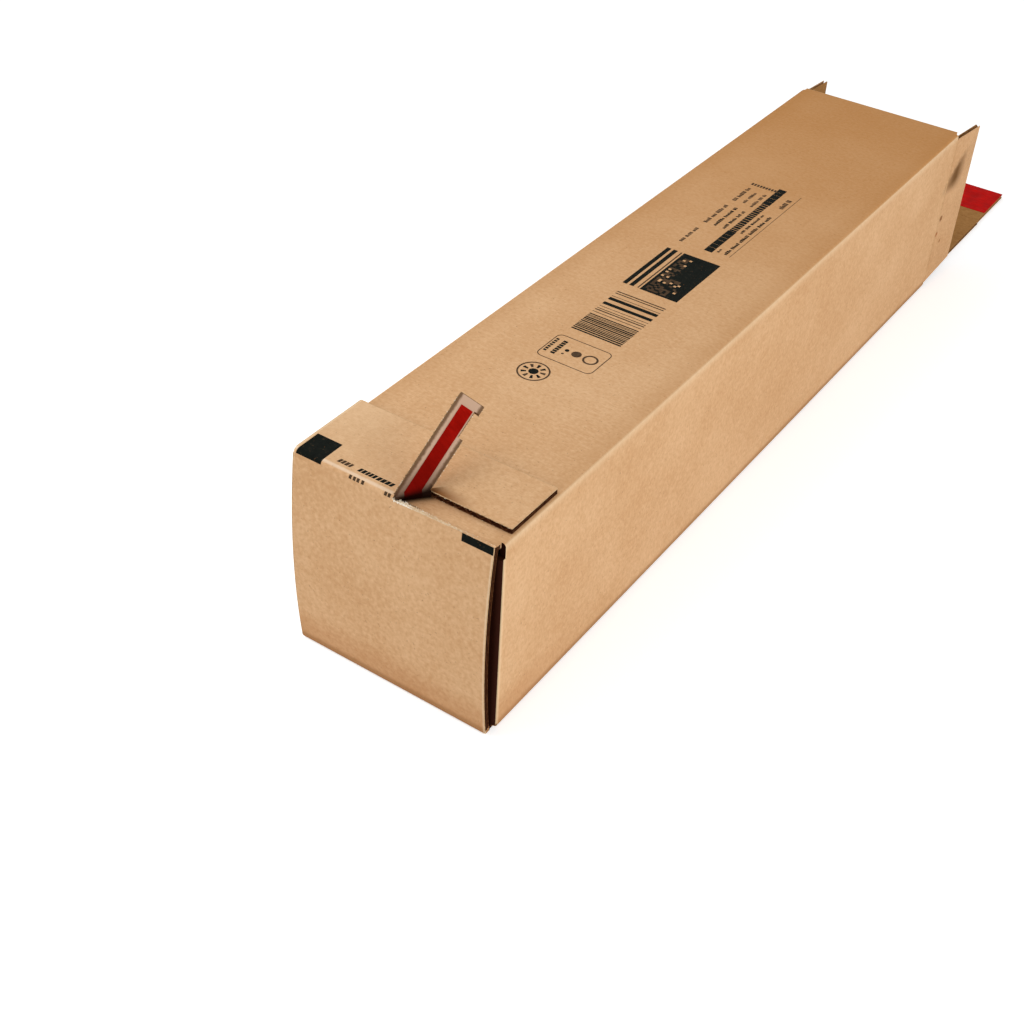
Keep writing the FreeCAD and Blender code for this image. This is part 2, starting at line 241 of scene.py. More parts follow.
# the cut and folded edges beside the near corners are rubbed pale, with a painted highlight
tinted(board, "#F0D9B8", 0.6, ("below", board.y, NEAR_Y + 0.1), ("fades", board.x, FLAP_RIGHT, 53.7))
tinted(board, "#F2D3A8", 0.5, ("near", from_side, SIDE_X, 0.15),
       ("fades", board.y, PANEL_START - 0.2, PANEL_START + 1.3))


def dress(name, look):
    """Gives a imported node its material."""
    for slot in nodes[name].material_slots:
        slot.material = look.material


dress("carton", board)


# The cut edges of the board. A knife leaves the two liners as thin pale lines with the fluting
# paper between them: a wave where the cut crosses the flutes, and a single ragged wall where it
# runs along them. Each edge is a strip of liners and fluting laid on the carton's flat edge, over a dark
# sheet of painted shade for the open flutes.
def plain_paper(name, light, dark, grain):
    """Cut or torn paper: short fibre ends, matt and uneven, a few tenths of a millimetre across."""
    look = blank(name)
    patches = {"Vector": look.place, "Scale": 1 / grain, "Detail": 3.0, "Roughness": 0.6}
    mix = add(look.tree, "TexNoise", patches)
    mix = add(look.tree, "MapRange", {0: mix, 1: 0.3, 2: 0.7})
    colour = add(look.tree, "Mix", {0: mix, 6: linear(dark), 7: linear(light)}, 2, data_type="RGBA")
    bump = add(look.tree, "Bump", {"Strength": 0.6, "Distance": 0.0002, "Height": mix})
    shader = add(look.tree, "BsdfPrincipled", {"Base Color": colour, "Roughness": 0.9,
                                               "Specular IOR Level": 0.02, "Normal": bump})
    add(look.tree, "OutputMaterial", {0: shader}, None)
    return look


liner_edge = plain_paper("cut_liner_edge", "#DDBB92", "#BE9668", 0.9)
fluting = plain_paper("fluting_paper", "#A87C4E", "#7C5430", 1.2)
# the hollow of the open flutes is a dark sheet of painted shade
flute_shade = plain_paper("flute_hollow_painted_shade", "#3E1E10", "#1C0B05", 2.5)
# dark liner and fluting: painted shade for the cut edges that lie in shade, and the fluting of the strip's
# torn sides
dim_edge = plain_paper("dark_liner_edge", "#6E4629", "#3A1E0F", 1.6)
# the numbers of these four materials in the edges
CLEAN, FLUTES, HOLLOW, SHADED = range(4)


def new_form():
    """A shape to be filled: its points, its faces, and the number of each face's material."""
    return SimpleNamespace(points=[], faces=[], paints=[])


def piece(name, form, looks, body=None):
    """Makes a piece of board from a form, and lets it ride on a body."""
    mesh = bpy.data.meshes.new(name)
    mesh.from_pydata([tuple(c * 0.001 for c in p) for p in form.points], [], form.faces)
    for look in looks:
        mesh.materials.append(look.material)
    if form.paints:
        mesh.polygons.foreach_set("material_index", form.paints)
    mesh.update()
    made = bpy.data.objects.new(name, mesh)
    bpy.context.scene.collection.objects.link(made)
    if body:
        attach(made, body)
    return made


def rib(form, left, right, out, high, paint):
    """Adds a low rib between two lines that run along a cut face, with its walls and its ends."""
    first = len(form.points)
    for a, b in zip(left, right):
        form.points += [a, a + out * high, b + out * high, b]
    last = len(form.points) - 4
    for p in range(first, last, 4):
        form.faces += [(p + j, p + j + 1, p + j + 5, p + j + 4) for j in range(3)]
    form.faces += [(first, first + 3, first + 2, first + 1), (last, last + 1, last + 2, last + 3)]
    form.paints += [paint] * (len(form.faces) - len(form.paints))


def cut_edge(form, inner, outer, out, crosses, phase, rough, in_shade=False):
    """Adds the liners and fluting of one cut edge, from its stations on the inner and outer face.
    They stand up to 0.28 mm proud, and wander by as much as the cut is rough."""
    run = [0.0]
    for a, b in zip(inner, inner[1:]):
        run.append(run[-1] + (b - a).length)
    wobble = [noise.noise(Vector((s / 1.7, phase, 3.0))) * rough for s in run]
    if crosses:
        turns = [2 * math.pi * s / FLUTE_PITCH + phase for s in run]
        middle = [0.5 + 0.34 * math.cos(turn) + w for turn, w in zip(turns, wobble)]
        half = [0.045 * (1 + 0.45 * abs(math.sin(turn))) for turn in turns]
    else:
        drift = [noise.noise(Vector((s / 9.0, phase, 8.0))) for s in run]
        middle = [0.42 + 0.22 * d + w for d, w in zip(drift, wobble)]
        half = [0.04] * len(run)
    start, end = [0.0] * len(run), [1.0] * len(run)
    liner = [0.11 + w * 0.5 for w in wobble]
    # the hollow, a dark sheet of painted shade, the inner and outer liner and the fluting, as shares of the
    # board's thickness; an edge in shade has its inner liner and fluting painted dark
    for low, high, rise, paint in (
            (start, end, 0.03, HOLLOW),
            (start, liner, 0.28, SHADED if in_shade else CLEAN),
            ([1 - t for t in liner], end, 0.28, CLEAN),
            ([m - h for m, h in zip(middle, half)], [m + h for m, h in zip(middle, half)], 0.2,
             SHADED if in_shade else FLUTES)):
        left = [a.lerp(b, share) for a, b, share in zip(inner, outer, low)]
        right = [a.lerp(b, share) for a, b, share in zip(inner, outer, high)]
        rib(form, left, right, out, rise, paint)


def straight(a, b, step):
    """Stations from a to b, about a step apart."""
    count = max(2, round((b - a).length / step) + 1)
    return [a.lerp(b, i / (count - 1)) for i in range(count)]


def arc_points(a, middle, b, count):
    """Points along the round line through three flat points."""
    (ax, ay), (mx, my), (bx, by) = a, middle, b
    d = 2 * (ax * (my - by) + mx * (by - ay) + bx * (ay - my))
    aa, mm, bb = ax * ax + ay * ay, mx * mx + my * my, bx * bx + by * by
    cx = (aa * (my - by) + mm * (by - ay) + bb * (ay - my)) / d
    cy = (aa * (bx - mx) + mm * (ax - bx) + bb * (mx - ax)) / d
    r = math.hypot(ax - cx, ay - cy)
    start, end = math.atan2(ay - cy, ax - cx), math.atan2(by - cy, bx - cx)
    sweep = (end - start + math.pi) % (2 * math.pi) - math.pi
    turns = [start + sweep * i / count for i in range(count + 1)]
    return [(cx + r * math.cos(turn), cy + r * math.sin(turn)) for turn in turns]


# the rest of the closure flap, and its round fold down into the near end panel
FLAP_LEFT, FLAP_END, FLAP_UNDER = -56.9, -215.0, FLAP_TOP - BOARD
FOLD_RADIUS = 2.4
FOLD_Y, FOLD_Z = NEAR_Y + FOLD_RADIUS, FLAP_TOP - FOLD_RADIUS
# the near end panel bows out, and both of its long sides are cut: y and z of its foot, its
# fullest place and its top, on its outer and its inner face
FOOT_Y, FULLEST_Y, FULLEST_Z = NEAR_Y - 1.2, NEAR_Y - 4.2, 50.0
BOW_OUTER = ((FOOT_Y, 1.6), (FULLEST_Y, FULLEST_Z), (NEAR_Y, FOLD_Z))
BOW_INNER = ((FOOT_Y + BOARD, BOARD), (FULLEST_Y + BOARD, FULLEST_Z), (NEAR_Y + BOARD, FLAP_UNDER))
BOW_STEPS = 60
edges = new_form()
for x, side in ((FLAP_RIGHT, 1.0), (FLAP_LEFT, -1.0)):
    outer = [Vector((x, y, z)) for y, z in arc_points(*BOW_OUTER, BOW_STEPS)]
    inner = [Vector((x, y, z)) for y, z in arc_points(*BOW_INNER, BOW_STEPS)]
    # both cut sides of the end panel are painted dark, as painted shade
    cut_edge(edges, inner, outer, Vector((side, 0, 0)), False, 4.0 * side, 0.05, True)
# the corners of the straight edges, on their inner faces: of the closure flap, of the top panel's
# far end, and of the glue lap. The flap's torn side starts where it meets the strip's root
TORN_START = 10.73
TOP_HALF, TOP_END = SIDE_X - FOLD_RADIUS, FAR_Y + BOARD
LAP_X, LAP_FOOT, LAP_TOP, LAP_TRIM = -50.8, 3.5, 30.0, 8.0
UP = (0, 0, BOARD)
INTO_LAP = (-BOARD, 0, 0)
left_near, left_far = (FLAP_LEFT, FOLD_Y, FLAP_UNDER), (FLAP_LEFT, FLAP_END, FLAP_UNDER)
right_near, right_far = (FLAP_RIGHT, STRIP_FAR, FLAP_UNDER), (FLAP_RIGHT, FLAP_END, FLAP_UNDER)
torn_start = (TORN_START, STRIP_FAR, FLAP_UNDER)
top_left, top_right = (-TOP_HALF, TOP_END, HEIGHT - BOARD), (TOP_HALF, TOP_END, HEIGHT - BOARD)
lap_foot, lap_corner = (LAP_X, FAR_Y - LAP_TRIM, LAP_FOOT), (LAP_X, FAR_Y - LAP_TRIM, LAP_TOP)
lap_near = (LAP_X, PANEL_START + LAP_TRIM, LAP_TOP)
# each straight edge: its ends, the way through the board, the way it faces, whether it crosses
# the flutes, its phase, how rough it is, and whether it is painted dark for the shade it lies in
for a, b, through, out, crosses, phase, rough, in_shade in (
        (right_near, right_far, UP, (1, 0, 0), False, 1.0, 0.05, True),
        (left_near, left_far, UP, (-1, 0, 0), False, 2.0, 0.02, False),
        (left_far, right_far, UP, (0, 1, 0), True, 0.0, 0.02, False),
        (torn_start, right_near, UP, (0, -1, 0), True, 0.7, 0.12, True),
        (top_left, top_right, UP, (0, 1, 0), True, 0.0, 0.02, False),
        (lap_foot, lap_corner, INTO_LAP, (0, 1, 0), True, 0.0, 0.02, False),
        (lap_near, lap_corner, INTO_LAP, (0, 0, 1), False, 6.0, 0.02, False)):
    inner = straight(Vector(a), Vector(b), 0.45 if crosses else 1.5)
    outer = [p + Vector(through) for p in inner]
    cut_edge(edges, inner, outer, Vector(out), crosses, phase, rough, in_shade)
piece("cut_board_edges", edges, [liner_edge, fluting, flute_shade, dim_edge], "tube")


# The tear strip was pulled up out of the closure flap and stands on its root, with its inner
# side and the red tape showing. Its long sides tore across the flutes, so they are ragged and
# dark, and its end is the flap's own cut side. Part of the far side's margin has come away.
MARGIN_Y, MARGIN_END = STRIP_FAR - 2.4, FLAP_RIGHT - 4
MARGIN_START = MARGIN_END - 14


def lifted(p):
    """Where a point of the flat strip is after the strip has been pulled up."""
    return ROOT + LIFT @ (Vector(p) - ROOT)


strip = new_form()
for a, b, out, crosses, phase in (
        ((ROOT.x, STRIP_NEAR), (FLAP_RIGHT, STRIP_NEAR), (0, -1, 0), True, 0.4),
        ((TORN_START, STRIP_FAR), (MARGIN_START, STRIP_FAR), (0, 1, 0), True, 1.1),
        ((MARGIN_START, MARGIN_Y), (MARGIN_END, MARGIN_Y), (0, 1, 0), True, 2.3),
        ((MARGIN_END, STRIP_FAR), (FLAP_RIGHT, STRIP_FAR), (0, 1, 0), True, 0.2),
        ((FLAP_RIGHT, STRIP_NEAR), (FLAP_RIGHT, STRIP_FAR), (1, 0, 0), False, 3.0)):
    flat = straight(Vector((*a, FLAP_UNDER)), Vector((*b, FLAP_UNDER)), 0.45)
    inner = [lifted(p) for p in flat]
    outer = [lifted(p + Vector(UP)) for p in flat]
    cut_edge(strip, inner, outer, LIFT @ Vector(out), crosses, phase, 0.14)
ripped_edge = plain_paper("ripped_liner_edge", "#9C7C5A", "#5E452E", 0.9)
piece("torn_strip_sides", strip, [ripped_edge, dim_edge, flute_shade], "tube")


# Torn fibres. Where the board was ripped its paper split into short pale slivers: along the low
# rim over the end panel, along the torn side of the flap, and down both sides of the strip. Many on the flap
# and the strip are a darker copy, painted shade.
# torn paper is pale, and these fibres are painted near white besides, as a painted highlight
torn_fibre = plain_paper("torn_kraft_fibre", "#FFF8EA", "#F0DDC0", 0.8)
# a darker copy of the torn fibre, painted shade for slivers that lie in shade
shaded_fibre = plain_paper("shaded_kraft_fibre", "#A58A6C", "#6B5138", 0.8)
lip_fibre = plain_paper("split_kraft_liner", "#EBD6B6", "#D4B48A", 0.8)
# the numbers of these three materials in the fibres
TORN, SHADED_FIBRE, SPLIT = range(3)
fibres = new_form()
chance = random.Random(17)


def sliver(root, across, out, wide, long, paint):
    """Adds one torn sliver of paper, a thin curled triangle with two sides."""
    first = len(fibres.points)
    bend = Vector((chance.uniform(-1, 1), chance.uniform(-1, 1), chance.uniform(-1, 1))) * long * 0.25
    middle = root + out * long * 0.55 + bend * 0.3
    fibres.points += [root - across * wide, root + across * wide, middle - across * wide * 0.6,
                      middle + across * wide * 0.6, root + out * long + bend]
    fibres.faces += [(first, first + 1, first + 3, first + 2), (first + 2, first + 3, first + 4)]
    fibres.paints += [paint, paint]


# the split outer liner stands as a ragged lip along the rim, palest, with a painted highlight, and widest
# beside the root
for i in range(126):
    x = 0.7 + 0.3 * i
    fall = max(0.06, 1.15 - 0.03 * x) * (1 + 0.8 * noise.noise(Vector((x * 1.4, 5.0, 1.0))))
    rise = 0.15 + 0.3 * abs(noise.noise(Vector((x * 1.3, 9.0, 4.0))))
    fibres.points += [Vector((x, NEAR_Y + 0.5, RIM_TOP + rise)), Vector((x, NEAR_Y - 0.06, RIM_TOP - 0.15)),
                      Vector((x, NEAR_Y - 0.08, RIM_TOP - 0.1 - fall))]
    if i:
        pale = x < 11 + 3 * noise.noise(Vector((x * 2.0, 2.0, 7.0)))
        fibres.faces += [(p - 3, p, p + 1, p - 2) for p in (3 * i, 3 * i + 1)]
        fibres.paints += [TORN if pale else SPLIT] * 2
# slivers on the rim, closer together and longer towards the root
for i in range(800):
    x = 0.6 + 54.0 * chance.random() ** 1.6
    worn = 1.5 - x / 55
    root = Vector((x, chance.uniform(NEAR_Y, NEAR_Y + 1.25), chance.uniform(RIM_TOP - 0.25, RIM_TOP)))
    out = Vector((chance.uniform(-1.2, 1.2), chance.uniform(-1.0, 0.4), chance.uniform(0.15, 0.9)))
    out.normalize()
    across = out.cross(Vector((chance.uniform(-0.3, 0.3), chance.uniform(-0.3, 0.3), 1))).normalized()
    wide, long = chance.uniform(0.06, 0.26), chance.uniform(0.4, 1.1) * worn
    sliver(root, across, out, wide, long, TORN if x < 9 else chance.choice((TORN, SPLIT, SPLIT)))
# slivers on the flap's torn side
for i in range(150):
    root = Vector((chance.uniform(11, 54.8), STRIP_FAR + 0.1, chance.choice((114.35, 117.1, 117.1))))
    out = Vector((chance.uniform(-0.4, 0.4), -1, chance.uniform(-0.1, 0.4))).normalized()
    wide, long = chance.uniform(0.12, 0.4), chance.uniform(0.3, 1.2)
    sliver(root, Vector((1, 0, 0)), out, wide, long, chance.choice((SHADED_FIBRE, SPLIT)))
# slivers on both sides of the lifted strip
for i in range(420):
    y, way = chance.choice(((STRIP_NEAR, -1), (STRIP_FAR, 1)))
    x = chance.uniform(2 if way < 0 else 12, 54)
    if way > 0 and MARGIN_START < x < MARGIN_END:
        y = MARGIN_Y
    z = chance.choice((114.3, 117.1))
    out = LIFT @ Vector((chance.uniform(-0.9, 0.9), way, chance.uniform(-0.2, 0.2))).normalized()
    wide, long = chance.uniform(0.08, 0.3), chance.uniform(0.3, 0.9)
    sliver(lifted((x, y, z)), LIFT @ Vector((1, 0, 0)), out, wide, long,
           chance.choice((TORN, SHADED_FIBRE, SHADED_FIBRE, SHADED_FIBRE)))
piece("torn_fibres", fibres, [torn_fibre, shaded_fibre, lip_fibre], "tube")


# The red tear tape is a thin drawn film, glued under the flap to cut the strip free as it is
# pulled. It is smooth with fine lines along it, so it is a dull red with a soft sheen.
def film(name, light, dark, drawn, roughness):
    """Thin coloured film or coated paper: an even colour with fine drawn lines and a soft sheen."""
    look = blank(name)
    tree = look.tree
    # lines 0.8 mm wide, drawn out along the piece by the smaller shares, and clouds of 9 mm
    lines = add(tree, "VectorMath", {0: look.place, 1: drawn}, operation="MULTIPLY")
    lines = add(tree, "TexNoise", {"Vector": lines, "Scale": 1 / 0.8, "Detail": 2.0})
    cloud = add(tree, "TexNoise", {"Vector": look.place, "Scale": 1 / 9, "Detail": 2.0})
    mix = add(tree, "Math", {0: lines, 1: cloud}, operation="ADD")
    mix = add(tree, "MapRange", {0: mix, 1: 0.75, 2: 1.25})
    look.colour = add(tree, "Mix", {0: mix, 6: linear(dark), 7: linear(light)}, 2, data_type="RGBA")
    rough = add(tree, "MapRange", {0: lines, 1: 0.3, 2: 0.7, 3: roughness - 0.06, 4: roughness + 0.08})
    height = add(tree, "Math", {0: cloud, 1: 3.0, 2: lines}, operation="MULTIPLY_ADD")
    bump = add(tree, "Bump", {"Strength": 0.5, "Distance": 0.0002, "Height": height})
    look.shader = add(tree, "BsdfPrincipled", {"Base Color": look.colour, "Roughness": rough, "IOR": 1.49,
                                               "Specular IOR Level": 0.01, "Normal": bump})
    add(tree, "OutputMaterial", {0: look.shader}, None)
    return look


tape_film = film("red_polypropylene_film", "#A6130A", "#8C0D06", (0.1, 0.6, 0.25), 0.42)
# painted shade darkens it towards its foot, where it comes up out of the flap
tinted(tape_film, "#5A0703", 0.75, ("fades", tape_film.z, 118.0, 146.0))
foot_shaded(tape_film, "#160402")
dress("near_tear_tape", tape_film)


# The hot melt glue that holds the seam and the near closure flap, and waits on the far one. It
# is a dull amber wax, rolled on in stripes and pressed flat, and only its edges show.
amber_glue = blank("hot_melt_glue")
# cloudy in patches of 5 mm, smooth but dull, and a little light goes into it
cloud = add(amber_glue.tree, "TexNoise", {"Vector": amber_glue.place, "Scale": 1 / 5, "Detail": 3.0})
amber = {0: cloud, 6: linear("#B8935A"), 7: linear("#D9BE85")}
colour = add(amber_glue.tree, "Mix", amber, 2, data_type="RGBA")
bump = add(amber_glue.tree, "Bump", {"Strength": 0.4, "Distance": 0.0005, "Height": cloud})
wax = add(amber_glue.tree, "BsdfPrincipled", {"Base Color": colour, "Roughness": 0.45, "Normal": bump,
                                              "Subsurface Weight": 0.15, "Subsurface Scale": 0.002})
add(amber_glue.tree, "OutputMaterial", {0: wax}, None)
for name in ("seam_adhesive", "near_closure_adhesive", "far_adhesive_strip"):
    dress(name, amber_glue)


# The print on the tube and the near end, in one black ink laid by a soft rubber plate. The ink
# soaks in, so it is matt, pinholed, and paler where the liner dips between flutes. Its marks are
# plain shapes: patches, bars, rings, a mosaic and rows of short strokes.
ink = kraft("black_flexo_ink", "#141813", "#090C09", 0.7)
pinholes = add(ink.tree, "MapRange", {0: ink.mottle, 1: 0.62, 2: 0.74, 4: 0.3})
tinted(ink, "#6E5439", 1.0, ("mask", pinholes))
worn_ink = kraft("thin_flexo_ink", "#5E4A37", "#3C2D20", 0.75)
# the marks in full ink, and those where it is thin and the board shows through
marks = {"ink": new_form(), "thin": new_form()}
# real ink is thinner than this, which keeps it clear of the board
INK_HIGH = 0.04


def printed(outline, plate="ink", z=HEIGHT):
    """Adds one flat printed shape on a level panel, a thin raised film with walls."""
    form = marks[plate]
    first, count = len(form.points), len(outline)
    for level in (z, z + INK_HIGH):
        form.points += [Vector((x, y, level)) for x, y in outline]
    form.faces.append(tuple(range(first + count, first + 2 * count)))
    for i in range(count):
        j = (i + 1) % count
        form.faces.append((first + i, first + j, first + count + j, first + count + i))


def bar(x0, x1, y0, y1, plate="ink", z=HEIGHT, slant=0.0):
    """A printed bar between two corners, which may lean."""
    printed([(x0, y0), (x1, y0), (x1 + slant, y1), (x0 + slant, y1)], plate, z)


def around(cx, cy, turn, radius):
    """The point at a turn on the circle about a centre."""
    return cx + radius * math.cos(turn), cy + radius * math.sin(turn)


def ring(cx, cy, radius, wide):
    """A thinly printed ring, drawn as forty short pieces."""
    for i in range(40):
        a, b = 2 * math.pi * i / 40, 2 * math.pi * (i + 1) / 40
        printed([around(cx, cy, a, radius - wide), around(cx, cy, a, radius),
                 around(cx, cy, b, radius), around(cx, cy, b, radius - wide)], "thin")


def disc(cx, cy, radius, plate="ink"):
    """A printed spot."""
    printed([around(cx, cy, 2 * math.pi * i / 24, radius) for i in range(24)], plate)


# the round mark: a ring, nine short rays and a spot
ROUND_X, ROUND_Y = -8.2, -139.7
ring(ROUND_X, ROUND_Y, 8.6, 0.9)
disc(ROUND_X, ROUND_Y, 2.6)
for i in range(9):
    turn = 2 * math.pi * i / 9 + 0.2
    along, aside = Vector((math.cos(turn), math.sin(turn))), Vector((-math.sin(turn), math.cos(turn)))
    a, b = along * 3.6, along * 6.4
    ray = (a - aside * 0.5, b - aside * 0.9, b + aside * 0.9, a + aside * 0.5)
    printed([(ROUND_X + p.x, ROUND_Y + p.y) for p in ray], "ink" if i % 3 else "thin")
# the framed mark: a thin rounded frame round two broken bars, a few dots and a ring
corner_line = []
for cx, cy, start in ((12.5, -105.5, 0), (-13.5, -105.5, 90), (-13.5, -122.1, 180), (12.5, -122.1, 270)):
    corner_line += [(cx, cy, math.radians(start + 15 * i)) for i in range(7)]
for here, there in zip(corner_line, corner_line[1:] + corner_line[:1]):
    printed([around(*here, 3.0), around(*here, 3.5), around(*there, 3.5), around(*there, 3.0)], "thin")
for i in range(7):
    bar(-15.7, -13.9, -120.2 + 2.05 * i, -118.8 + 2.05 * i)
    bar(-11.4, -8.9, -120.2 + 2.05 * i, -118.6 + 2.05 * i)
disc(-5.2, -113.4, 1.2)
disc(-5.6, -117.2, 0.7, "thin")
disc(0.6, -113.6, 2.7, "thin")
ring(9.0, -113.8, 4.2, 1.1)
# the bars: fine close ones at the near side, and others beyond, each a place and a width
BARS_LEFT, BARS_RIGHT = -15.6, 14.4
y = -93.6
while y < -75.6:
    wide = chance.choice((0.5, 0.7, 0.9, 1.1))
    bar(BARS_LEFT, BARS_RIGHT, y, y + wide)
    y += wide + chance.choice((0.5, 0.7))
for y, wide, plate in (
        (-72.6, 0.5, "thin"), (-70.2, 0.9, "thin"), (-68.2, 0.5, "ink"), (-65.6, 0.4, "thin"),
        (-62.9, 2.6, "ink"), (-57.2, 2.7, "ink"), (-53.0, 0.4, "thin"), (-49.6, 0.7, "ink"),
        (-47.6, 0.9, "thin")):
    bar(BARS_LEFT, BARS_RIGHT, y, y + wide, plate)
# the block: two long stripes, a fine one, and a dark field whose near left corner breaks into a
# mosaic, as does a diamond in it
bar(-18.5, -15.9, -37.2, 12.2)
bar(-14.3, -11.7, -37.2, 12.2)
bar(-9.4, -8.6, -36.8, 11.8, "thin")
CELL = 1.65
for i in range(14):
    for j in range(30):
        x, y = -7.6 + CELL * i, -37.4 + CELL * j
        edge = 4.2 + 3.0 * noise.noise(Vector((j * 0.35, 2.0, 0.0))) + (5.0 if j < 12 else 0.0)
        diamond = abs(i - 6.5) + abs(j - 5.5)
        broken = (1 <= i < edge and 1 <= j < 27) or 1.5 < diamond < 3.6
        pick = chance.random()
        if broken and pick < 0.10:
            continue
        bar(x, x + CELL + 0.02, y, y + CELL + 0.02, "thin" if broken and pick < 0.62 else "ink")
# the panel of small rows: one row of blocks, bold at both ends, with rows of strokes beside it
y = 22.6
while y < 115.5:
    bold = y < 49 or y > 94
    long = chance.uniform(3.4, 6.4) if bold else chance.uniform(1.6, 2.8)
    bar(-0.9 if bold else -0.5, 4.2 if bold else 3.9, y, y + long)
    y += long + (0.2 if bold else 0.5)


def strokes(x0, x1, y0, y1, plate):
    """A row of short slanting strokes along the tube, in groups, in place of small print."""
    y = y0
    while y < y1:
        for i in range(chance.randint(3, 6)):
            wide = chance.uniform(0.9, 1.8)
            if y + wide > y1:
                return
            low = x0 if chance.random() < 0.6 else x0 + 0.25 * (x1 - x0)
            printed([(low, y), (x1, y + 0.25), (x1, y + wide + 0.25), (low, y + wide)], plate)
            y += wide + 0.4
        y += 1.3


for x0, x1, y0, y1, plate in (
        (-17.6, -15.2, 52, 79, "thin"), (-17.2, -14.8, 87, 108, "thin"), (-11.2, -9.2, 52, 80, "ink"),
        (-11.0, -9.0, 88, 106, "thin"), (-5.4, -3.4, 52, 79, "ink"), (-5.2, -3.2, 86, 107, "thin"),
        (5.9, 7.5, 53, 82, "ink"), (10.2, 12.2, 25, 82, "ink"), (9.4, 12.4, 95, 110, "thin"),
        (6.0, 7.4, 25, 32, "thin"), (-17.4, -15.4, 23, 46, "thin")):
    strokes(x0, x1, y0, y1, plate)
for i in range(9):
    bar(-17.6 + 1.9 * i, -16.3 + 1.9 * i, 112.4, 115.2, "thin")
bar(14.6, 14.9, 24, 116, "thin")
# leaning strokes on the flap, beside the tear strip
for x0, x1, plate in ((-35.2, -28.6, "thin"), (-23.5, -15.2, "ink"), (-13.0, -5.2, "ink")):
    x = x0
    while x < x1:
        wide = chance.uniform(1.2, 2.1)
        bar(x, x + wide, -259.4, -256.8, plate, FLAP_TOP, 0.7)
        x += wide + 0.45
# the patches that fold over the near top edge follow the flap, its round fold and the end panel
fold_middle = (FOLD_Y - FOLD_RADIUS * math.sqrt(0.5), FOLD_Z + FOLD_RADIUS * math.sqrt(0.5))
profile = [(y, FLAP_TOP) for y in (-245.0, -248.3, -255.0, FOLD_Y)]
profile += arc_points(profile[-1], fold_middle, (NEAR_Y, FOLD_Z), 8)[1:]
profile += arc_points(*reversed(BOW_OUTER), BOW_STEPS)[1:10]


def wrapped(x0, x1, z_from, z_to, plate="ink", y_from=-245.0):
    """Adds a printed patch round the near end's profile, between two heights and beyond a place."""
    line = [(y, z) for y, z in profile if z_to <= z <= z_from and y <= y_from]
    form = marks[plate]
    first = len(form.points)
    for i, (y, z) in enumerate(line):
        before, after = line[max(i - 1, 0)], line[min(i + 1, len(line) - 1)]
        run = Vector((0, after[0] - before[0], after[1] - before[1])).normalized()
        out = Vector((0, run.z, -run.y))
        for x in (x0, x1):
            form.points += [Vector((x, y, z)), Vector((x, y, z)) + out * INK_HIGH]
    for i in range(len(line) - 1):
        p = first + 4 * i
        form.faces += [(p + 1, p + 3, p + 7, p + 5), (p, p + 1, p + 5, p + 4), (p + 3, p + 2, p + 6, p + 7)]


wrapped(-55.4, -40.8, FLAP_TOP, 114.9, "ink", -248.0)
wrapped(38.2, 54.9, 115.55, 109.5)
for x in (-24.6, -22.3, -20.2, -17.6, -4.6, -2.6):
    wrapped(x, x + 1.5, 117.0, 115.2, "thin")
for plate, look in (("ink", ink), ("thin", worn_ink)):
    piece(f"print_{plate}", marks[plate], [look], "tube")


# The open far end: two dust flaps, an end panel and a closure flap, all of the same board. Each
# is made as board is made, an outer and an inner liner with a waved fluting paper between them,
# so the flutes can be looked into at its free edges.
LINER = 0.35
inner_board = kraft("kraft_inner_liner", "#B98851", "#A06F3D")
outer_board = kraft("kraft_outer_liner", LINER_LIGHT, LINER_DARK)
# the dust flaps' outer liner has been handled, so it is a little browner
rubbed = kraft("kraft_outer_liner_creased", "#DBB085", "#C6976A")


def slant_crease(look):
    """Paints shade in the hollow of a slanting crease from handling, which starts on the right side
    panel, crosses the right dust flap, and widens and darkens on its way up."""
    slope, drop, widening, start = 0.36, 16.3, 0.31, 250.0
    # its middle rises by the slope, its reach grows from the start, and the mottle roughens it
    above = add(look.tree, "Math", {0: look.y, 1: -slope, 2: look.z}, operation="MULTIPLY_ADD")
    above = add(look.tree, "Math", {0: above, 1: drop}, operation="ADD")
    above = add(look.tree, "Math", {0: look.mottle, 1: 5.0, 2: above}, operation="MULTIPLY_ADD")
    reach = add(look.tree, "Math", {0: look.y, 1: widening, 2: -widening * start}, operation="MULTIPLY_ADD")
    reach = add(look.tree, "Math", {0: reach, 1: 1.0}, operation="MAXIMUM")
    across = add(look.tree, "Math", {0: above}, operation="ABSOLUTE")
    across = add(look.tree, "Math", {0: across, 1: reach}, operation="DIVIDE")
    along = add(look.tree, "MapRange", {0: look.y, 1: 279.0, 2: 292.0, 3: 1.0, 4: 0.1})
    tinted(look, "#74512F", 1.0, ("above", look.x, 50.0), ("mask", along), ("fades", across, 0.3, 1.7),
           ("fades", above, 7.0, 15.0), ("fades", look.y, 277.0, 254.0))


slant_crease(board)
slant_crease(rubbed)
# painted shade of three small dents below the crease, each a place, a reach and a colour
for dent, reach, code in (((57.3, 268.4, 51.4), 3.4, "#7E4E2A"), ((57.3, 266.7, 40.3), 2.8, "#A8683E"),
                          ((57.3, 276.8, 31.3), 2.2, "#A8744A")):
    centre = add(rubbed.tree, "VectorMath", {0: rubbed.place, 1: dent}, "Value", operation="DISTANCE")
    centre = add(rubbed.tree, "Math", {0: rubbed.mottle, 1: 5.0, 2: centre}, operation="MULTIPLY_ADD")
    tinted(rubbed, code, 0.9, ("fades", centre, 0.45 * reach + 2.2, reach + 2.2))
# painted shade darkens the dust flaps beside their folds
tinted(rubbed, "#B98B5E", 0.4, ("fades", rubbed.y, FAR_Y, FAR_Y + 3))


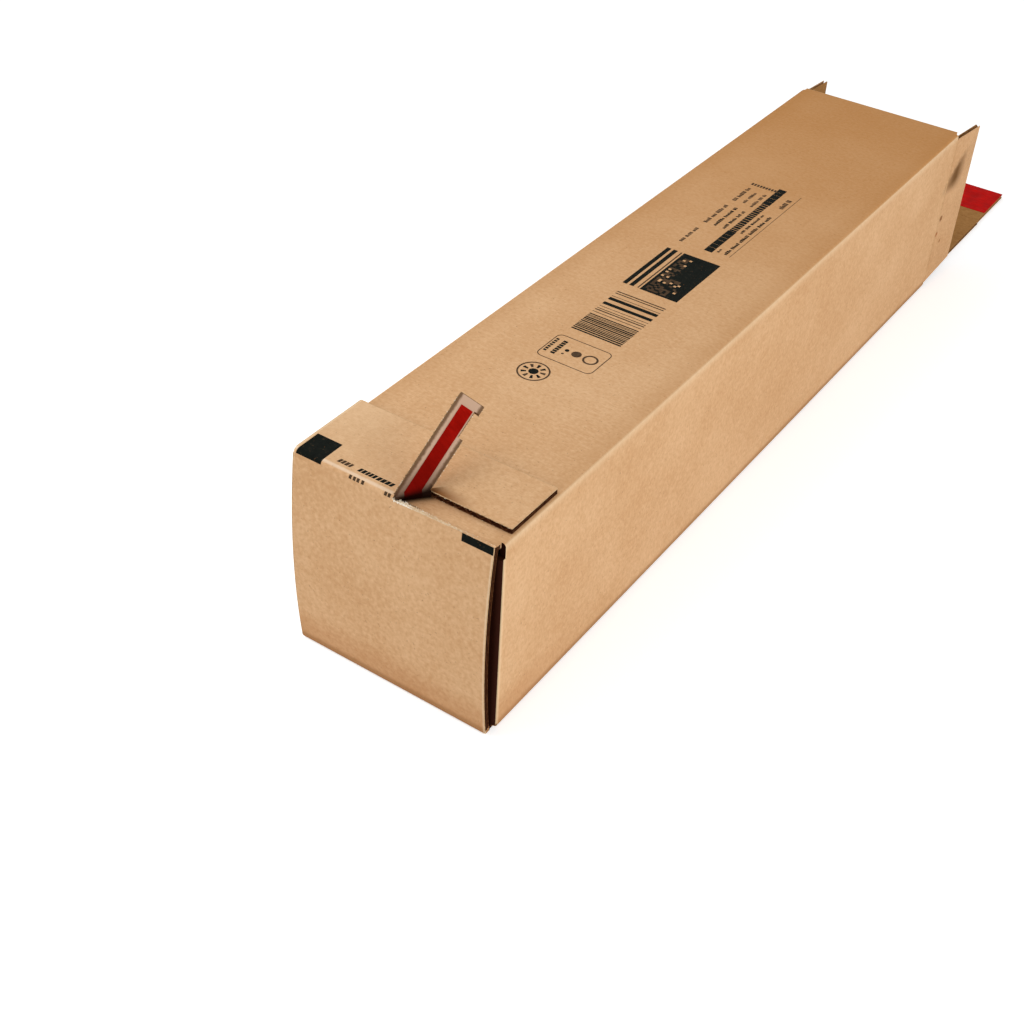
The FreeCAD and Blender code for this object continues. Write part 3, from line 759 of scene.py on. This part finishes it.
def board_panel(name, node, body, corner, ways, length, low, high, taper=0.0, outer=outer_board):
    """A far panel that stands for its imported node. From its corner on the inner face it goes a
    length along and from low to high across, and it narrows by taper. Its ways are along, across
    and out through the board."""
    corner = Vector(corner)
    along, across, out = (Vector(way) for way in ways)
    form = new_form()

    def point(u, v, w):
        return corner + along * u + across * v + out * w

    for paint, bottom in enumerate((0.0, BOARD - LINER)):
        first = len(form.points)
        for w in (bottom, bottom + LINER):
            form.points += [point(0, low, w), point(length, low + taper, w), point(length, high - taper, w),
                            point(0, high, w)]
        for face in ((3, 2, 1, 0), (4, 5, 6, 7), (0, 1, 5, 4), (1, 2, 6, 5), (2, 3, 7, 6), (3, 0, 4, 7)):
            form.faces.append(tuple(first + k for k in face))
            form.paints.append(paint)
    # the fluting paper, 0.2 mm thick, from one liner to the other and back
    first = len(form.points)
    rise = (BOARD - 2 * LINER - 0.2) / 2
    columns = round((high - low) / FLUTE_PITCH * 14)
    for i in range(columns + 1):
        v = low + 0.05 + (high - low - 0.1) * i / columns
        reach = min(1.0, (v - low) / taper, (high - v) / taper) if taper else 1.0
        w = BOARD / 2 + rise * math.cos(2 * math.pi * (v - low) / FLUTE_PITCH)
        for u in (0.05, max(0.1, length * reach - 0.05)):
            form.points += [point(u, v, w - 0.1), point(u, v, w + 0.1)]
    for p in range(first, first + 4 * columns, 4):
        form.faces += [(p + a, p + b, p + 4 + b, p + 4 + a) for a, b in ((0, 2), (3, 1), (1, 0), (2, 3))]
        form.paints += [2] * 4
    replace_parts(piece(name, form, [inner_board, outer, fluting], body), node)


# the dust flaps stand open, a degree and a half past straight
OPEN = math.radians(1.5)
DUST_START = (0.3 + BOARD * math.sin(OPEN)) / math.cos(OPEN)
DUST_LENGTH, DUST_LOW, DUST_TAPER = 40.0, BOARD + 0.3, 4.0
for side, hand in ((1, "right"), (-1, "left")):
    along = Vector((side * math.sin(OPEN), math.cos(OPEN), 0))
    out = (side * math.cos(OPEN), -math.sin(OPEN), 0)
    corner = Vector((side * INNER_X, FAR_Y, 0)) + along * DUST_START
    board_panel(f"{hand}_dust_flap_board", f"far_dust_flap_{hand}", f"{hand}_dust_flap", corner,
                (along, (0, 0, 1), out), DUST_LENGTH - DUST_START, DUST_LOW, HEIGHT - DUST_LOW,
                DUST_TAPER, rubbed)
# the end panel and its closure flap lie back on the ground, each just past its crease
CREASE_GAP = 0.3
END_CREASE, END_LENGTH, END_HALF = FAR_Y + BOARD + CREASE_GAP, 111.2, 53.79
CLOSURE_CREASE = END_CREASE + CREASE_GAP + END_LENGTH
CLOSURE_LENGTH, CLOSURE_HALF = 52.7, 53.19
FLAT_WAYS = ((0, 1, 0), (1, 0, 0), (0, 0, -1))
board_panel("end_panel_board", "far_end_panel", "end_panel", (0, END_CREASE + CREASE_GAP, BOARD),
            FLAT_WAYS, END_LENGTH, -END_HALF, END_HALF)
board_panel("closure_flap_board", "far_closure_flap", "closure_flap", (0, CLOSURE_CREASE + CREASE_GAP, BOARD),
            FLAT_WAYS, CLOSURE_LENGTH, -CLOSURE_HALF, CLOSURE_HALF)


# The creases of the far end. The board is crushed along each one and its outer liner runs
# through, so the fold opens and closes like a hinge. A strip of crushed board lies over each crease.
crushed = kraft("crushed_kraft_crease", "#DCB588", "#C09163")


def crease(name, corner, across, out, low, high, gap):
    """A strip of crushed board that lies over a crease."""
    corner, along, across, out = Vector(corner), Vector((0, 1, 0)), Vector(across), Vector(out)
    form = new_form()
    columns, lap = 14, 0.5
    for j in range(columns + 1):
        u = (gap + 2 * lap) * j / columns - lap
        for v, w in ((low, 0.25), (high, 0.25), (high, BOARD + 0.02), (low, BOARD + 0.02)):
            form.points.append(corner + along * u + across * v + out * w)
    for p in range(0, 4 * columns, 4):
        form.faces += [(p + k, p + m, p + 4 + m, p + 4 + k) for k, m in ((0, 1), (1, 2), (2, 3), (3, 0))]
        form.paints += [1, 0, 0, 0]
    form.faces += [(3, 2, 1, 0), tuple(4 * columns + k for k in range(4))]
    form.paints += [0, 0]
    made = piece(name, form, [crushed, inner_board])
    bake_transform(made)


for side, body in ((1, "right_dust_flap"), (-1, "left_dust_flap")):
    crease(f"{body}_crease", (side * INNER_X, FAR_Y, 0), (0, 0, 1), (side, 0, 0),
           3.5, 110.5, 0.35)
for name, a, b, y, half in (("end_panel_crease_strip", "tube", "end_panel", END_CREASE, 53.6),
                            ("closure_crease_strip", "end_panel", "closure_flap", CLOSURE_CREASE, 53.0)):
    crease(name, (0, y, BOARD), (1, 0, 0), (0, 0, -0.98), -half, half, CREASE_GAP)


# The red release liner over the far glue strip: thin paper with a slick silicone face, so it is a
# bright even red with a soft shine.
dress("far_release_liner", film("red_silicone_paper", "#D6100A", "#B40A06", (0.1, 1.0, 1.0), 0.36))


# The floor is a plain white sweep of matt card, in metres. The camera sees it white, and it
# keeps the soft shadow of the box.
FLOOR_REACH, FLOOR_Z = 6, -0.0003


def shown(tree):
    """1 for the rays that show the backdrop: from the camera, off a gloss, or through glass."""
    rays = add(tree, "LightPath", output=None).outputs
    direct = add(tree, "Math", {0: rays["Is Camera Ray"], 1: rays["Is Glossy Ray"]}, operation="MAXIMUM")
    return add(tree, "Math", {0: direct, 1: rays["Is Transmission Ray"]}, operation="MAXIMUM")


floor_mesh = bpy.data.meshes.new("floor")
corners = [(x * FLOOR_REACH, y * FLOOR_REACH, FLOOR_Z) for x, y in ((-1, -1), (1, -1), (1, 1), (-1, 1))]
floor_mesh.from_pydata(corners, [], [(0, 1, 2, 3)])
floor = bpy.data.objects.new("floor", floor_mesh)
bpy.context.scene.collection.objects.link(floor)
# it glows for the rays that show it, and more so away from the box
white = blank("white_sweep")
away = add(white.tree, "VectorMath", {0: white.place}, "Value", operation="LENGTH")
away = add(white.tree, "MapRange", {0: away, 1: 900.0, 2: 2400.0, 3: 0.5, 4: 0.75})
lift = add(white.tree, "Math", {0: shown(white.tree), 1: away}, operation="MULTIPLY")
sweep = add(white.tree, "BsdfPrincipled", {"Base Color": linear("#EDEDED"), "Roughness": 0.9,
            "Specular IOR Level": 0.0, "Emission Color": (1, 1, 1, 1), "Emission Strength": lift})
add(white.tree, "OutputMaterial", {0: sweep}, None)
floor_mesh.materials.append(white.material)


# The light: an even white room, a soft lamp close over the near left, which lets the top panel
# fall off towards the far end, a wide one low at the right, and a weak one in front.
world = bpy.data.worlds.new("white_room")
bpy.context.scene.world = world
world.use_nodes = True
world.node_tree.nodes.clear()
level = add(world.node_tree, "MapRange", {0: shown(world.node_tree), 3: 0.45, 4: 1.0})
sky = add(world.node_tree, "Background", {"Color": (1, 1, 1, 1), "Strength": level})
add(world.node_tree, "OutputWorld", {0: sky}, None)
# each lamp's place and aim in metres, its watts and its width
for name, place, aim, watts, size in (("near_lamp", (-0.5, -0.36, 0.6), (0, -0.22, 0.1), 4.35, 0.9),
                                      ("right_lamp", (1.6, -0.2, 0.6), (0, 0.0, 0.06), 14.6, 1.1),
                                      ("front_lamp", (0.1, -1.5, 0.5), (0, -0.26, 0.06), 2.35, 0.8)):
    lamp = bpy.data.lights.new(name, "AREA")
    lamp.energy = watts
    lamp.size = size
    holder = bpy.data.objects.new(name, lamp)
    holder.location = place
    holder.rotation_euler = (Vector(aim) - Vector(place)).to_track_quat("-Z", "Y").to_euler()
    bpy.context.scene.collection.objects.link(holder)


# The camera stands over the near right corner, tipped three degrees, as the photograph was taken.
# Its place and the way it looks are in metres.
camera = bpy.data.objects.new("camera", bpy.data.cameras.new("camera"))
camera.data.sensor_width = 36.0
camera.data.lens = 53.077
camera.data.clip_start = 0.01
camera.data.clip_end = 20.0
camera.matrix_world = Matrix((
    (0.8235, -0.3825, 0.4190, 0.3243),
    (0.5657, 0.4996, -0.6560, -0.6731),
    (0.0416, 0.7773, 0.6278, 0.5304),
    (0, 0, 0, 1)))
bpy.context.scene.collection.objects.link(camera)
bpy.context.scene.camera = camera
bpy.context.scene.view_settings.view_transform = "Standard"
